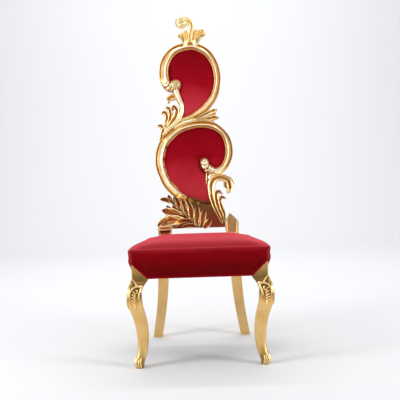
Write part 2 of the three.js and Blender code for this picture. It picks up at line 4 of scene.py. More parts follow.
import bmesh
import bpy
import numpy as np
from mathutils import Matrix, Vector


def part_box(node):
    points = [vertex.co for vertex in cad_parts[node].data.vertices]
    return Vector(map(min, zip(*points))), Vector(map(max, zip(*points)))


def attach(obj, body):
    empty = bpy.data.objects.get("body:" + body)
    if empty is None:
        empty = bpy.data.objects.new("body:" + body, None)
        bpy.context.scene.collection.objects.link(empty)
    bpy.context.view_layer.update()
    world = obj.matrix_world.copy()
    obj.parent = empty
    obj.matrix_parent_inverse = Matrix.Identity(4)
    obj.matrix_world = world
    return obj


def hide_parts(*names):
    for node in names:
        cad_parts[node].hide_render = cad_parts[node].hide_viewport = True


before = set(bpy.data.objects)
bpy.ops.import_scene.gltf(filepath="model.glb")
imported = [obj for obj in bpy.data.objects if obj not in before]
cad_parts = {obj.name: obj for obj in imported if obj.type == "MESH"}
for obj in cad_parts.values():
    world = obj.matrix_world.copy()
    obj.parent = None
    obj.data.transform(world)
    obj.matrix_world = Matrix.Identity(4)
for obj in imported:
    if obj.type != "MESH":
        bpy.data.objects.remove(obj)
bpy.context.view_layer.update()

# The carved back: two open loops of moulding, the lower one wrapped round the foot of the upper one,
# carved from one block of hardwood with leaves and strands between them, and gilded all over.
# It stands on the two posts and leans back; its rear side is left flat.
back_lean = math.radians(7)
seat_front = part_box("seat_cushion")[0].y
seat_level = 0.511
back_foot_y = seat_front + 0.530
back_foot_z = seat_level - 0.005
flat_back = 0.020
carving_depth = 0.040
strand_depth = 0.034
ground_depth = 0.010

# The back's lines are drawn with x in centimetres and z in units of unit_up, from the seat to the top
unit_across = 0.01
back_height = 1.093
drawn_seat_level = 50
drawn_top = 158.5
unit_up = back_height / (drawn_top - drawn_seat_level)


def spline(stations, steps):
    """Rows of numbers made smooth: between two rows each number follows the cubic whose slope at a row is
    half the difference of that row's neighbours."""
    rows = np.asarray(stations, float)
    rows = np.vstack([2 * rows[:1] - rows[1:2], rows, 2 * rows[-1:] - rows[-2:-1]])
    gaps = len(rows) - 3
    count = np.arange(gaps * steps + 1)
    first = np.minimum(count // steps, gaps - 1)
    t = (count / steps - first)[:, None]
    before, start, end, after = rows[first], rows[first + 1], rows[first + 2], rows[first + 3]
    slope_0 = (end - before) / 2
    slope_1 = (after - start) / 2
    square = 3 * (end - start) - 2 * slope_0 - slope_1
    cube = 2 * (start - end) + slope_0 + slope_1
    return start + slope_0 * t + square * t**2 + cube * t**3


def on_back(x, z, depth):
    """Places on the leaning back: x across and z up as drawn, and depth in metres before the flat back."""
    across = np.asarray(x) * unit_across
    inward = flat_back - np.asarray(depth)
    up = (np.asarray(z) - drawn_seat_level) * unit_up
    y = back_foot_y + inward * math.cos(back_lean) + up * math.sin(back_lean)
    height = back_foot_z - inward * math.sin(back_lean) + up * math.cos(back_lean)
    return np.stack(np.broadcast_arrays(across, y, height), -1)


def tube_faces(rows, columns):
    """Quads between neighbouring rows of a grid whose columns run round and close."""
    start = (np.arange(rows - 1) * columns)[:, None]
    here = np.arange(columns)[None, :]
    beside = (here + 1) % columns
    quads = np.stack([start + here, start + beside, start + columns + beside, start + columns + here], -1)
    return quads.reshape(-1, 4).tolist()


def tube(points, relief_shade):
    """Closed shell from a grid of rings: the rings joined by quads, and each end closed by one face."""
    rows, columns = points.shape[:2]
    faces = tube_faces(rows, columns)
    faces.append(list(range(columns)))
    faces.append(list(range((rows - 1) * columns, rows * columns)))
    return points.reshape(-1, 3), faces, np.broadcast_to(relief_shade, (rows, columns)).reshape(-1)


def mesh_piece(name, shells, material, crease=42):
    """One object from closed shells, with its faces outward and a shade value kept on each point, mostly from
    how far the point stands out, for painted light and shade.
    """
    offset = 0
    points, faces, relief_shade = [], [], []
    for shell_points, shell_faces, shell_shade in shells:
        points.append(shell_points)
        relief_shade.append(shell_shade)
        faces.extend([[corner + offset for corner in face] for face in shell_faces])
        offset += len(shell_points)
    mesh = bpy.data.meshes.new(name)
    mesh.from_pydata(np.concatenate(points), [], faces)
    # The value kept on each point is painted light and shade: the gold materials make it lighter on crests
    # and darker in hollows.
    mesh.attributes.new("relief_shade", "FLOAT", "POINT").data.foreach_set("value", np.concatenate(relief_shade))
    work = bmesh.new()
    work.from_mesh(mesh)
    bmesh.ops.recalc_face_normals(work, faces=work.faces)
    work.to_mesh(mesh)
    work.free()
    mesh.polygons.foreach_set("use_smooth", np.ones(len(mesh.polygons), bool))
    mesh.set_sharp_from_angle(angle=math.radians(crease))
    mesh.materials.append(material)
    piece = bpy.data.objects.new(name, mesh)
    bpy.context.scene.collection.objects.link(piece)
    return piece


class NodeMaterial:
    """A material in the making: the inputs of its shader, and the kinds of node that materials here share."""

    def __init__(self, name):
        self.material = bpy.data.materials.new(name)
        self.material.use_nodes = True
        self.tree = self.material.node_tree
        self.shader = self.tree.nodes["Principled BSDF"].inputs
        self.place = self.add("ShaderNodeTexCoord").outputs["Object"]

    def add(self, kind, **settings):
        """A node, with its inputs or its properties set by name."""
        node = self.tree.nodes.new(kind)
        for key, value in settings.items():
            if key in node.inputs:
                node.inputs[key].default_value = value
            else:
                setattr(node, key, value)
        return node

    def join(self, source, target):
        """Joins an output to an input."""
        self.tree.links.new(source, target)

    def texture(self, kind, **settings):
        """Value of a texture that lies in the object's own space."""
        pattern = self.add("ShaderNodeTex" + kind, **settings)
        self.join(self.place, pattern.inputs["Vector"])
        return pattern.outputs["Fac"]

    def relief_shade(self):
        """The shade value that mesh_piece keeps on each point, for painted light and shade."""
        return self.add("ShaderNodeAttribute", attribute_name="relief_shade").outputs["Fac"]

    def weighted(self, value, weight, other):
        """The value times its weight, plus the other value."""
        total = self.add("ShaderNodeMath", operation="MULTIPLY_ADD")
        total.inputs[1].default_value = weight
        self.join(value, total.inputs[0])
        self.join(other, total.inputs[2])
        return total.outputs["Value"]

    def mapped(self, value, old_range, new_range):
        """The value carried from the old range to the new one."""
        node = self.add("ShaderNodeMapRange")
        for key, limit in zip(("From Min", "From Max", "To Min", "To Max"), old_range + new_range):
            node.inputs[key].default_value = limit
        self.join(value, node.inputs["Value"])
        return node.outputs["Result"]

    def coloured(self, value, stops):
        """Base colour from the value, by (place, colour) stops."""
        node = self.add("ShaderNodeValToRGB")
        elements = node.color_ramp.elements
        while len(elements) > 1:
            elements.remove(elements[-1])
        elements[0].position = stops[0][0]
        elements[0].color = (*stops[0][1], 1)
        for place, colour in stops[1:]:
            elements.new(place).color = (*colour, 1)
        self.join(value, node.inputs["Fac"])
        self.join(node.outputs["Color"], self.shader["Base Color"])

    def bumped(self, height, strength, distance):
        """Small bumps from a height."""
        node = self.add("ShaderNodeBump", Strength=strength, Distance=distance)
        self.join(height, node.inputs["Height"])
        self.join(node.outputs["Normal"], self.shader["Normal"])

    def finished(self, settings):
        """The material, with the given inputs of its shader set."""
        for key, value in settings.items():
            self.shader[key].default_value = value
        return self.material


def gold_leaf():
    """Burnished gold leaf with fine pits. Its colour follows the kept shade value: painted highlights on the
    crests, painted shade in the hollows, and red in the hollows that is partly the red clay bole and partly a
    painted reflection of the red velvet.
    """
    gold = NodeMaterial("gold_leaf")
    mottle = gold.texture("Noise", Scale=28.0, Detail=6.0, Roughness=0.6)
    grain = gold.texture("Noise", Scale=240.0, Detail=4.0, Roughness=0.55)
    facets = gold.texture("Noise", Scale=70.0, Detail=2.0, Roughness=0.5)
    # Painted light and shade: dark olive and red at low values, pale gold highlights at high ones.
    gold.coloured(gold.weighted(mottle, 0.24, gold.relief_shade()), [
        (0.10, (0.25, 0.16, 0.05)), (0.30, (0.40, 0.07, 0.032)), (0.48, (0.50, 0.13, 0.05)),
        (0.62, (0.76, 0.44, 0.17)), (0.84, (0.92, 0.67, 0.29)), (1.0, (1.0, 0.88, 0.60)),
    ])
    gold.join(gold.mapped(mottle, (0, 1), (0.22, 0.40)), gold.shader["Roughness"])
    gold.bumped(gold.weighted(grain, 0.35, facets), 0.22, 0.0014)
    return gold.finished({"Metallic": 0.95})


def profile(points, count):
    """Section of a carving as (share of the width, share of the depth), made smooth between its points."""
    middle = spline(points[1:-1], count)
    return np.vstack([points[:1], middle, points[-1:]])


# Sections of the mouldings from the outer side of a loop to its inner side: bead, groove, slope, round, lip
loop_profile = profile([
    (-0.5, 0), (-0.5, 0.36), (-0.494, 0.56), (-0.47, 0.65), (-0.435, 0.655), (-0.40, 0.57), (-0.37, 0.50),
    (-0.30, 0.54), (-0.18, 0.66), (-0.06, 0.80), (0.05, 0.93), (0.12, 0.99), (0.20, 0.98), (0.27, 0.86),
    (0.32, 0.66), (0.35, 0.56), (0.39, 0.585), (0.44, 0.60), (0.48, 0.53), (0.5, 0.36), (0.5, 0),
], 3)
round_profile = profile([
    (-0.5, 0), (-0.5, 0.36), (-0.49, 0.47), (-0.46, 0.60), (-0.42, 0.71), (-0.37, 0.80), (-0.31, 0.875),
    (-0.24, 0.935), (-0.16, 0.975), (-0.08, 0.995), (0.0, 1.0), (0.08, 0.995), (0.16, 0.975), (0.24, 0.935),
    (0.31, 0.875), (0.37, 0.80), (0.42, 0.71), (0.46, 0.60), (0.49, 0.47), (0.5, 0.36), (0.5, 0),
], 3)
strand_profile = profile([
    (-0.5, 0), (-0.5, 0.40), (-0.475, 0.62), (-0.41, 0.86), (-0.32, 0.94), (-0.22, 0.84), (-0.12, 0.60),
    (0.0, 0.48), (0.10, 0.56), (0.20, 0.82), (0.30, 0.99), (0.39, 0.98), (0.465, 0.74), (0.5, 0.40), (0.5, 0),
], 2)
leaf_profile = profile([
    (-0.5, 0), (-0.5, 0.50), (-0.485, 0.78), (-0.45, 0.95), (-0.40, 1.0), (-0.34, 0.90), (-0.27, 0.66),
    (-0.15, 0.47), (0, 0.38), (0.15, 0.47), (0.27, 0.66), (0.34, 0.88), (0.40, 0.97), (0.45, 0.93),
    (0.485, 0.76), (0.5, 0.50), (0.5, 0),
], 2)


def carved_band(stations, section, depth, steps=8, place=on_back, blend_to=None, blend=None, cuts=None):
    """A section carried along a drawn line. The section's first number is the share of the width to the
    left of the way, its second the share of the depth; width and depth change along the line. A second
    section may take over, by a share given along the line, and cuts lower the surface by a share. The
    shade kept on each point is painted light and shade: its share of the depth, lighter on the crests,
    and a cut darkens it three times as much as it lowers the surface."""
    rows = [(*station, 1)[:4] for station in stations]
    x, z, width, share = spline(rows, steps).T
    run, rise = np.gradient(x), np.gradient(z)
    length = np.hypot(run, rise)
    across, out = np.asarray(section).T
    across, out = across[None], out[None]
    if blend_to is not None:
        taken = blend(np.linspace(0, 1, len(x)))[:, None]
        across = across + (blend_to[:, 0] - across) * taken
        out = out + (blend_to[:, 1] - out) * taken
    # Painted light and shade: lighter where the section stands out, and darker in the cuts.
    shade = out
    if cuts is not None:
        cut = cuts(np.linspace(0, 1, len(x))[:, None], across)
        out, shade = out * (1 - cut), out * (1 - 3 * cut)
    grid_x = x[:, None] - (rise / length * width)[:, None] * across
    grid_z = z[:, None] + (run / length * width)[:, None] * across
    grid_depth = (share * depth)[:, None] * out
    return tube(place(grid_x, grid_z, grid_depth), shade)


def smooth_step(low, high, value):
    """Rises from 0 at low to 1 at high, level at both ends."""
    t = np.clip((value - low) / (high - low), 0, 1)
    return t * t * (3 - 2 * t)


upper_loop = [
    (-8.5, 105.6, 1.6, 0.6), (-5, 107, 2.4, 0.8), (-1, 108.2, 2.9), (3.7, 111.2, 3.4), (7.2, 114.6, 3.5),
    (9.8, 118.3, 3.5), (11.45, 123.9, 3.3), (11.5, 129.8, 3.4), (9.8, 135.5, 3.4), (5.9, 140.6, 3.7),
    (-0.8, 143.3, 3.7), (-8.7, 141.6, 4.1), (-13.3, 136.8, 4.5), (-14.85, 131.2, 4.7), (-14.2, 126.4, 4.6),
    (-12.2, 123.6, 4.8, 1.1), (-9.6, 123.2, 4.8, 1.15),
]
lower_loop = [
    (3.95, 85.8, 4.5, 1.1), (4.6, 83.4, 5.0, 1.15), (6.6, 81.7, 4.9, 1.15), (9.1, 80.95, 4.0, 1.05),
    (12.9, 82.4, 3.3), (15.4, 86.2, 3.6), (16.4, 90.7, 3.7), (15.6, 96, 3.6), (13.3, 100, 3.1),
    (8.6, 103.4, 3.6), (1.5, 104.3, 3.4), (-6.8, 102.6, 3.8), (-12.2, 99.2, 4.4), (-15.6, 95.4, 5),
    (-17.45, 90.3, 5.1), (-17.75, 85.2, 4.9), (-16.6, 80.5, 4.7), (-14.3, 75.6, 4.9), (-10.95, 71.9, 4.9),
    (-7, 69, 4, 0.85), (-3.6, 67.7, 4, 0.65), (0.5, 66.5, 3.6, 0.5), (4.6, 65.7, 3, 0.4),
    (7.8, 65.4, 2.6, 0.4),
]


def scroll_end(x, z, radius, depth, ribs, turn):
    """Rounded end of a scroll: a dome whose height falls as a quarter ellipse, cut by fanning ribs. Its shade
    is painted light and shade, lighter towards the top of the dome and darker in the rib cuts.
    """
    rows, columns = 22, 64
    share = np.linspace(0, 1, rows)[:, None]
    angle = np.linspace(0, 2 * math.pi, columns, endpoint=False)[None, :]
    swirl = angle + turn * share
    cut = 0.24 * (1 - np.abs(np.sin(swirl * ribs / 2))) ** 2 * np.sin(math.pi * share) ** 0.7
    height = np.sqrt(np.clip(1 - (0.88 * share) ** 2.6, 0, 1)) - cut
    height[-1] = 0
    reach = share * radius
    points = on_back(x + reach * np.cos(angle), z + reach * np.sin(angle), height * depth)
    faces = tube_faces(rows, columns)
    faces.append(list(range((rows - 1) * columns, rows * columns)))
    # Painted highlight on the dome and painted shade in the ribs.
    shade = np.broadcast_to(0.25 + 0.8 * height - 3 * cut, (rows, columns))
    return points.reshape(-1, 3), faces, shade.reshape(-1)


def leafy(start, end, count):
    """Chevron cuts along the end of a scroll: waves that run back from the middle to both sides."""
    def cuts(way, across):
        here = smooth_step(min(start, end), max(start, end), way)
        here = here if end > start else 1 - here
        wave = np.cos(2 * math.pi * (way * count + np.abs(across) * 1.2))
        return 0.26 * here * np.clip(wave, 0, 1) ** 3
    return cuts


leafed_gold = gold_leaf()
loop_shells = [
    carved_band(upper_loop, loop_profile, carving_depth, 10, blend_to=round_profile,
                blend=lambda way: smooth_step(0.84, 0.92, way), cuts=leafy(0.86, 0.92, 30)),
    carved_band(lower_loop, loop_profile, carving_depth, 10, blend_to=round_profile,
                blend=lambda way: 1 - smooth_step(0.11, 0.20, way), cuts=leafy(0.13, 0.06, 30)),
    scroll_end(-9.05, 124.1, 2.95, carving_depth * 1.2, ribs=11, turn=1.6),
    scroll_end(3.95, 85.5, 2.35, carving_depth * 1.15, ribs=9, turn=1.2),
]


def loop_shade(points, relief_shade):
    """Shade of the loops, painted light and shade: lighter overall than how far they stand out, with painted
    highlights on the crests, painted shade in the grooves and at the rims, and darker where the lower loop
    runs out over the leaves."""
    # Darker where the lower loop runs out over the leaves.
    darkened_run_out = (1 - smooth_step(0.69, 0.72, points[:, 2])) * smooth_step(-0.075, -0.035, points[:, 0])
    return 0.24 + 0.72 * relief_shade - 0.30 * (1 - smooth_step(0.46, 0.60, relief_shade)) - 0.95 * darkened_run_out


loop_shells = [(points, faces, loop_shade(points, relief_shade)) for points, faces, relief_shade in loop_shells]
loops = mesh_piece("carved_loops", loop_shells, leafed_gold)
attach(loops, "root")
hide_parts("back_frame")

# Strands: the curled tips between the loops, the spray to the right of them, the tall C-scroll at the
# right and the strands beside it. They are carved from the same wood, lower than the loops.
band_depth = strand_depth * 0.9
border_depth = 0.026
inner_strand = [
    (-9.3, 122.4, 3.6), (-7.9, 118.2, 3.3), (-6.3, 114.5, 2.6), (-6.3, 111, 2.6), (-7.7, 107.7, 2.6),
    (-10.4, 104.9, 2.6), (-13.6, 102.2, 2.4), (-16.3, 99.4, 1.6),
]
scroll_stem = [
    (12.2, 55.2, 1), (10.5, 58.6, 1.7), (8.7, 62.6, 2.3), (7.3, 67, 2.8), (6.7, 71.3, 3.3), (7.2, 75.3, 4.2),
    (9.2, 77.7, 3.9), (12.6, 77.9, 3.7), (15.5, 76, 3.8), (16.2, 73.2, 3.5), (15.6, 71.0, 2.2, 0.8),
]
pad_border = [(6, 69.5, 1.8), (5.3, 75, 2.2), (5.7, 80.4, 2.6)]
left_tips = [
    [(-7.8, 118.6, 2.8), (-10.4, 118.5, 3.4), (-12.6, 117.6, 2.7), (-12.9, 116.2, 1.2, 0.8)],
    [(-11.3, 112.6, 1.2, 0.8), (-10.1, 113.4, 2.0), (-8.9, 111.6, 3.0), (-9.7, 108.3, 3.2),
     (-11.9, 105.3, 2.7), (-14.8, 102, 1.8)],
    [(-13.9, 113.3, 1.2, 0.8), (-12.7, 112.3, 2.0), (-12.0, 109.4, 2.3), (-12.9, 106.2, 2.2),
     (-15.3, 102.6, 1.7)],
    [(-16.1, 110.8, 1.2, 0.8), (-14.6, 110.6, 2.1), (-13.8, 108.3, 2.3), (-14.3, 105.4, 2.1),
     (-16, 101.6, 1.7)],
    [(-18.3, 104.2, 1.0, 0.8), (-16.8, 104.1, 2.1), (-15.9, 102.4, 2.4), (-16.5, 99.6, 2.0),
     (-17.3, 96.8, 1.4)],
]
right_spray = [
    [(0.5, 106.9, 1.2), (4.5, 108.6, 2.2), (8.0, 110.3, 2.8), (10.2, 111.3, 1.8, 0.8)],
    [(0.5, 106.6, 1.2), (4.5, 107.6, 2.0), (8.0, 108.9, 2.6), (10.3, 109.5, 1.8, 0.8)],
    [(0.5, 106.3, 1.2), (4.5, 106.9, 2.0), (8.4, 107.5, 2.6), (11.0, 107.5, 1.7, 0.8)],
]
beside_stem = [
    [(12.3, 55.6, 1), (11.7, 59, 1.7), (10.2, 63, 2.4), (9.3, 67, 2.9), (9.2, 69.9, 2.6), (10.4, 71.1, 2.0),
     (11.9, 70.3, 0.9, 0.8)],
    [(12.8, 57, 1), (12.9, 60, 1.6), (11.7, 63.6, 1.9), (10.9, 66.2, 2.1), (11.8, 68.2, 1.8),
     (13.6, 67.8, 0.8, 0.8)],
    [(14.4, 78.2, 1.2), (16.2, 77.2, 1.8), (17.3, 75.2, 1.8), (17.4, 73.6, 0.9, 0.8)],
    [(14.6, 76.6, 1.6), (13.9, 75.2, 1.7), (13.8, 73.8, 1.5), (14.4, 72.6, 0.8, 0.8)],
]
joining_bands = [
    [(-10.6, 102.9, 1.8, 0.8), (-4.6, 105.6, 2.9, 0.8), (1.5, 106.8, 2.7, 0.8), (6, 106.1, 1.9, 0.8),
     (9.8, 105, 1, 0.8)],
    [(6.2, 77.2, 2.6), (7.6, 79.5, 2.8), (10.6, 80.4, 1.6)],
]
knobs = [
    (-12.9, 116.0, 0.75), (-11.3, 112.4, 0.75), (-13.9, 113.3, 0.7), (-16.2, 110.7, 0.75),
    (-18.3, 104.2, 0.6), (10.5, 111.4, 0.7), (11.4, 107.5, 0.65), (12.0, 70.1, 0.6), (13.7, 67.7, 0.55),
    (15.5, 71.1, 1.2),
]
strand_shells = [
    carved_band(inner_strand, round_profile, strand_depth),
    carved_band(scroll_stem, strand_profile, strand_depth),
    carved_band(pad_border, strand_profile, border_depth),
]
for drawn in left_tips + right_spray + beside_stem:
    strand_shells.append(carved_band(drawn, strand_profile, strand_depth))
for drawn in joining_bands:
    strand_shells.append(carved_band(drawn, round_profile, band_depth))
for x, z, radius in knobs:
    strand_shells.append(scroll_end(x, z, radius, band_depth, ribs=1, turn=0))
strands = mesh_piece("carved_strands", strand_shells, leafed_gold)
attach(strands, "root")
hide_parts("back_frame")

# Leaf spray at the foot of the back: hollow leaflets on a slanting spine over a plain ground, carved
# from the same wood. The largest leaf lies over the left post and hides where the post ends.
ground_outline = [
    (-13.4, 53.6), (13.05, 53.6), (13.05, 58), (11.3, 65), (9.2, 69), (7.2, 73), (6.2, 79.5), (5.2, 79.5),
    (5.8, 72), (6.4, 66), (0.5, 65.6), (-3.6, 67), (-7, 68.4), (-11.4, 71.4), (-12.4, 67), (-12.8, 62),
    (-14.4, 57.5),
]
spines = [
    [(0.4, 54, 1.2), (-2.2, 56.6, 1.2), (-4.6, 59.2, 1.3), (-9, 63.2, 1.3), (-13.2, 66.7, 1.2)],
    [(-12.2, 54.3, 1.6), (-15.5, 53.9, 2.6), (-19.9, 53.9, 2.2)],
]
# Base, tip, greatest width, and how far the middle bows to the left of the way
leaflets = [
    [(-12.6, 66.4), (-18.4, 67.9), 2.3, -0.6],
    [(-12, 66), (-14.3, 70.1), 2, 0.3],
    [(-9, 62.9), (-11.3, 70), 2.6, -0.4],
    [(-5.5, 60), (-7.7, 68), 3.1, -0.4],
    [(-3.2, 58), (-5.7, 67.1), 3, -0.8],
    [(-0.3, 54), (-0.4, 64.2), 3.2, 0],
    [(1, 53.9), (3.2, 62.2), 3.3, 0],
    [(2.6, 53.7), (6.1, 57.8), 3, -0.3],
    [(-8, 60.6), (-15.6, 64.9), 1.7, 0.3],
    [(-7.6, 59), (-17.7, 62.6), 4, -0.6],
    [(-7.4, 57.4), (-20, 54.9), 4.9, -1.4],
    [(-3.6, 57.2), (-12.4, 54.5), 2.4, -1.3],
    [(-0.4, 54.2), (-8.8, 53.8), 2, -0.9],
]


def leaflet(base, tip, width, bow):
    """A hollow leaf along a bowed line, its width swelling as a half sine and closing at the tip."""
    share = np.linspace(0, 1, 15)
    run, rise = tip[0] - base[0], tip[1] - base[1]
    length = math.hypot(run, rise)
    aside = bow * np.sin(math.pi * share)
    swell = 0.25 + 0.75 * np.sin(math.pi * (0.12 + 0.8 * share)) ** 0.8
    closing = np.clip((1 - share) / 0.16, 0, 1) ** 0.5 * 0.85 + 0.15
    x = base[0] + run * share - rise / length * aside
    z = base[1] + rise * share + run / length * aside
    tip_drop = 1 - 0.25 * np.clip((share - 0.85) / 0.15, 0, 1)
    stations = np.stack([x, z, 1.12 * width * swell * closing, tip_drop], -1)
    points, faces, shade = carved_band(stations, leaf_profile, strand_depth, 3)
    # Painted shade: the leaf's hollow is made darker and its rims a little lighter.
    return points, faces, 1.12 * shade - 0.08


def flat_ground(outline, depth):
    """Plain carved ground: the drawn outline at two distances from the flat back."""
    x, z = np.asarray(outline).T
    points = on_back(np.tile(x, (2, 1)), np.tile(z, (2, 1)), np.array([[0.0], [depth]]))
    # The ground's value is low so the gold is dark over it: red towards the bottom, partly the red clay bole,
    # and darker olive towards the top, painted shade in the recess.
    ground_bole_and_shade = 0.22 - 0.20 * smooth_step(56, 68, z)
    return tube(points, np.stack([ground_bole_and_shade, ground_bole_and_shade]))


leaf_shells = [flat_ground(ground_outline, ground_depth)]
for drawn in spines:
    leaf_shells.append(carved_band(drawn, strand_profile, strand_depth))
for drawn in leaflets:
    leaf_shells.append(leaflet(*drawn))
leaf_spray = mesh_piece("leaf_spray", leaf_shells, leafed_gold)
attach(leaf_spray, "root")
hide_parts("back_frame")

# Finial at the top: a plume that curls over to the left out of a stepped base, between side leaves.
# It is carved with the frame and sits on the crown of the upper loop.
finial_base = [(-1.2, 143.6, 8.4, 0.7), (-1.2, 145, 7.4, 0.7), (-1.2, 146.3, 6.7, 0.6)]
plume = [
    (-1.6, 145.4, 2.6, 0.6), (-1, 149.5, 2, 0.6), (-0.2, 152.6, 1.8, 0.6), (-0.6, 155, 2.8, 0.75),
    (-2.4, 156.2, 4.2, 0.85), (-4.7, 155.9, 5.1, 0.95), (-6.6, 155.3, 4.6, 0.9), (-7.9, 154.9, 2.6, 0.6),
]
finial_leaves = [
    [(-2.6, 145.4, 2.4), (-3.0, 148.5, 2.7), (-3.6, 151.6, 1.8, 0.8)],
    [(-3.7, 145.4, 2.2), (-4.6, 148, 2.5), (-6.0, 150.1, 1.6, 0.8)],
    [(-4.2, 145.4, 1.5), (-5.3, 147.7, 1.7), (-7.2, 148.9, 0.9, 0.8)],
    [(0.4, 145.4, 2.1), (1.0, 149, 2.5), (2.2, 151.7, 1.8, 0.8)],
    [(1.5, 145.4, 2.0), (2.7, 149, 2.6), (4.5, 150.6, 2.4, 0.9), (6.1, 148.8, 1.4, 0.8)],
    [(2.2, 145.4, 1.3), (3.6, 147.6, 1.6), (5.4, 148.5, 1.0, 0.8)],
]
finial_leaf_depth = 0.027
finial_shells = [
    carved_band(finial_base, strand_profile, carving_depth),
    carved_band(plume, strand_profile, carving_depth),
    scroll_end(-5.5, 155.55, 2.9, carving_depth, ribs=14, turn=0.35),
]
for drawn in finial_leaves:
    finial_shells.append(carved_band(drawn, leaf_profile, finial_leaf_depth))
# Painted light and shade in a narrower range: lighter crests and less dark hollows than the loops.
finial_shells = [(points, faces, 0.52 + 0.44 * relief_shade) for points, faces, relief_shade in finial_shells]
finial = mesh_piece("carved_finial", finial_shells, leafed_gold)
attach(finial, "root")
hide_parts("back_frame")

# Velvet pads of the back: foam under crimson velvet, let into the openings of the loops from behind,
# so their edges lie under the carving and their middles swell forward.
pad_recess = 0.004
pad_edge = 0.007
pad_crown = 0.026


def velvet(name, low, high, stops):
    """Crimson velvet: a soft pile that turns paler where it is seen along. Its colour runs through the
    stops from a low height to a high one, as painted light and shade, with brushed patches."""
    cloth = NodeMaterial(name)
    split = cloth.add("ShaderNodeSeparateXYZ")
    cloth.join(cloth.place, split.inputs["Vector"])
    # Painted light and shade: the colour is graded by height.
    level = cloth.mapped(split.outputs["Z"], (low, high), (-0.15, 0.85))
    brushed = cloth.texture("Noise", Scale=7.0, Detail=4.0, Roughness=0.55, Distortion=0.4)
    pile = cloth.texture("Noise", Scale=900.0, Detail=2.0, Roughness=0.6)
    weave = cloth.texture("Noise", Scale=160.0, Detail=3.0, Roughness=0.6)
    cloth.coloured(cloth.weighted(brushed, 0.30, level), stops)
    cloth.bumped(cloth.weighted(weave, 0.6, pile), 0.30, 0.0010)
    return cloth.finished({
        "Roughness": 0.86, "Specular IOR Level": 0.05, "Sheen Weight": 1.0, "Sheen Roughness": 0.32,
        "Sheen Tint": (1.0, 0.14, 0.17, 1),
    })


def pad_in_loop(outline, centre, club):
    """Pad from its middle out to the drawn outline: its thickness falls from the middle to the edge as
    one minus powers of the share of the way, and it is pressed in round the end of the scroll."""
    border = spline(np.vstack([outline, outline[:1]]), 6)[:-1]
    share = np.linspace(0, 1, 26)[1:, None, None]
    drawn = centre + (border[None] - centre) * share
    rise = 0.5 * (1 - share[..., 0] ** 5) + 0.5 * (1 - share[..., 0] ** 2)
    away = np.hypot(drawn[..., None, 0] - club[:, 0], drawn[..., None, 1] - club[:, 1]).min(-1)
    pressed = 1 - 0.9 * np.exp(-(np.clip(away - 2.0, 0, 9) / 1.9) ** 2)
    front = pad_recess + pad_edge + pad_crown * rise * pressed
    front_points = on_back(drawn[..., 0], drawn[..., 1], front)
    rear_points = on_back(drawn[..., 0], drawn[..., 1], np.full(front.shape, pad_recess))
    return tube(np.concatenate([front_points, rear_points[::-1]]), 0.5)


def inflate(piece, voxel, pressure, cap, held=None):
    """The padding's push: the shell is remeshed evenly, swells as cloth under pressure for twenty steps,
    and no point moves further than the cap, or than the share of it that is left where a seam holds it."""
    bpy.context.view_layer.objects.active = piece
    remesh = piece.modifiers.new("even", "REMESH")
    remesh.mode = "VOXEL"
    remesh.voxel_size = voxel
    bpy.ops.object.modifier_apply(modifier=remesh.name)
    start = np.empty(len(piece.data.vertices) * 3, np.float32)
    piece.data.vertices.foreach_get("co", start)
    start = start.reshape(-1, 3)
    cloth = piece.modifiers.new("swell", "CLOTH")
    cloth.settings.use_pressure = True
    cloth.settings.uniform_pressure_force = pressure
    cloth.settings.effector_weights.gravity = 0
    scene = bpy.context.scene
    for step in range(1, 21):
        scene.frame_set(step)
    bpy.context.view_layer.update()
    moved = piece.evaluated_get(bpy.context.evaluated_depsgraph_get())
    swollen = np.empty_like(start)
    moved.data.vertices.foreach_get("co", swollen.reshape(-1))
    piece.modifiers.remove(cloth)
    scene.frame_set(1)
    way = swollen - start
    far = np.linalg.norm(way, axis=1, keepdims=True)
    way *= np.minimum(1, cap / np.maximum(far, 1e-9))
    if held is not None:
        way *= 1 - held(start)[:, None]
    piece.data.vertices.foreach_set("co", (start + way).reshape(-1))
    piece.data.polygons.foreach_set("use_smooth", np.ones(len(piece.data.polygons), bool))
    piece.data.update()


upper_outline = np.array([station[:2] for station in upper_loop[1:-1] + inner_strand[:5]], float)
lower_outline = np.array(
    [station[:2] for station in lower_loop[2:] + scroll_stem[3:5] + pad_border[1:]], float)
upper_club = spline([row[:2] for row in upper_loop[-4:]], 4)
lower_club = spline([row[:2] for row in lower_loop[:4]], 4)
for name, outline, centre, club, low, high in [
    ("velvet_pad_upper", upper_outline, np.array([-1.5, 127.0]), upper_club, 1.10, 1.38),
    ("velvet_pad_lower", lower_outline, np.array([-2.0, 85.0]), lower_club, 0.70, 1.02),
]:
    # Painted shade and light: each pad is darker towards its top and lighter towards its bottom.
    pad_velvet = velvet(name, low, high, [
        (0.0, (0.47, 0.032, 0.042)), (0.30, (0.40, 0.017, 0.028)), (0.55, (0.27, 0.001, 0.008)),
        (1.0, (0.19, 0.0, 0.004)),
    ])
    pad = mesh_piece(name, [pad_in_loop(outline, centre, club)], pad_velvet)
    inflate(pad, voxel=0.0045, pressure=4.0, cap=0.004)
    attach(pad, "root")
    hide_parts("back_" + name.removeprefix("velvet_"))

# Seat: a deep sprung and padded seat under one piece of velvet, wider at the front and bowed at its
# sides, drawn over the edge to the lower rail and cut away round the corner blocks of the front legs.
seat_front_width = 0.618
seat_rear_width = 0.500
seat_depth = 0.536
seat_edge_height = 0.122
seat_crown = 0.0165
rear_drop = 0.013
side_bow = 0.019
front_radius = 0.030
rear_radius = 0.045
edge_inset = 0.020
crease_inset = 0.026
crown_inset = 0.175
seat_bottom = seat_level - seat_edge_height
side_slope = (seat_front_width - seat_rear_width) / 2 / seat_depth
block_size = 0.068
ear_height = 0.064
block_outer = seat_front_width / 2 - edge_inset

# The slanting plane over a front leg's block, from the ear's tip down to both sides
ear_tip = np.array([block_outer, seat_front + edge_inset, seat_bottom + ear_height])
ear_normal = np.array([ear_height, -ear_height, -block_size])


def side_bow_at(y):
    """Widening of the seat at a depth: one plus a half sine of the share of the depth."""
    return 1 + 2 * side_bow / seat_front_width * np.sin(math.pi * y / seat_depth)


